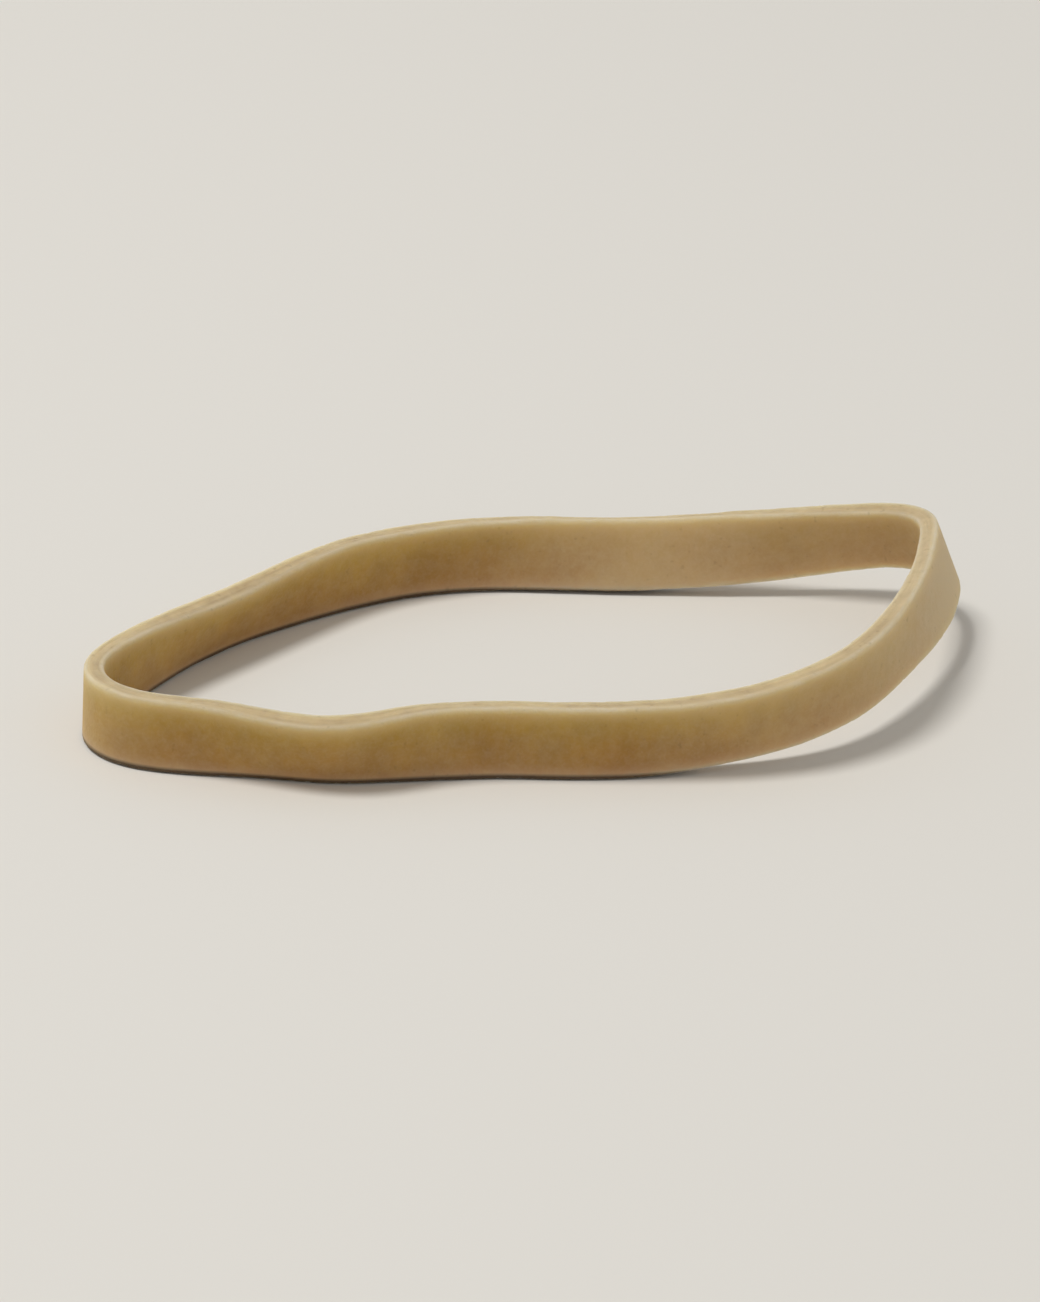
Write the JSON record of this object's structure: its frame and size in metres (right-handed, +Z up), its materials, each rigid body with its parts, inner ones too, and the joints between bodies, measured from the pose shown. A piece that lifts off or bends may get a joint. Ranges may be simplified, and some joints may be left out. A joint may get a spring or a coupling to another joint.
{
  "type": "rubber band",
  "caption": "Flat natural rubber band cut from a tube, lying as an open loop that stands on its cut edge.",
  "frame": {"origin": "on the surface the band rests on, under the middle of the loop's bounding box", "axes": "+X along the loop's long direction towards its tight corner, +Y from the front run to the back run, +Z up across the cut width"},
  "size_m": [0.0384, 0.021, 0.005],
  "materials": {
    "natural_rubber": "matt tan natural rubber with a light bloom of talc"
  },
  "bodies": {
    "root": {"rubber_band": "natural_rubber"}
  },
  "joints": []
}
